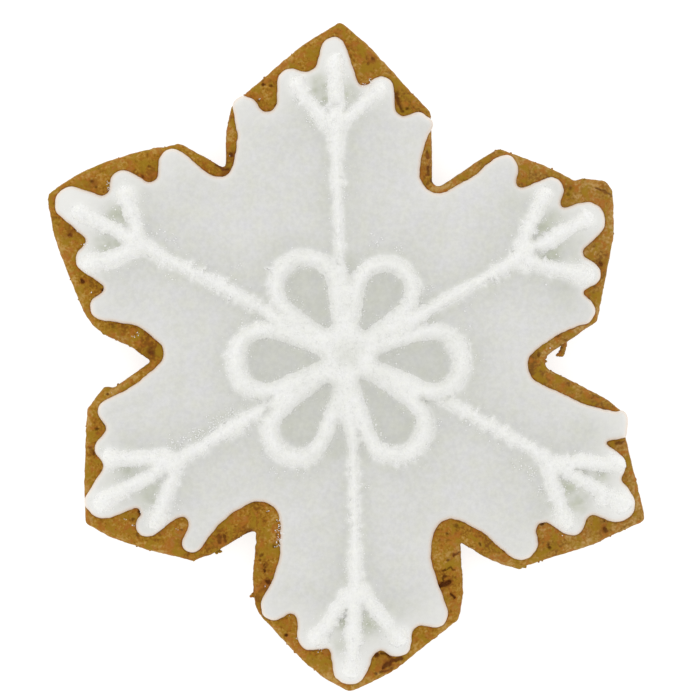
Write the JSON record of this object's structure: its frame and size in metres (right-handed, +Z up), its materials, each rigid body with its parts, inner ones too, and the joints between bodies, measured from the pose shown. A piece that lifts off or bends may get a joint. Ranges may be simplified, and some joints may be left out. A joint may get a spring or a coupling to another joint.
{
  "type": "gingerbread cookie",
  "caption": "Snowflake-shaped gingerbread cookie with scalloped white icing, a piped rosette of loops and forked sugared rays.",
  "frame": {"origin": "centre of the outline's box on the flat underside that the cookie rests on", "axes": "+Z up through the iced side, +Y towards the top arm's tip, +X across the cookie to the right as seen from above"},
  "size_m": [0.0955, 0.1069, 0.0101],
  "materials": {
    "gingerbread": "matte baked dough, golden brown, with small pits and cracks",
    "flat_icing": "smooth set sugar icing with a soft sheen, off-white",
    "piped_icing": "white piped icing coated in fine sugar crystals"
  },
  "bodies": {
    "root": {"gingerbread": "gingerbread", "icing": "flat_icing", "piping_rosette": "piped_icing", "piping_top": "piped_icing", "piping_upper_left": "piped_icing", "piping_lower_left": "piped_icing", "piping_bottom": "piped_icing", "piping_lower_right": "piped_icing", "piping_upper_right": "piped_icing"}
  },
  "joints": []
}
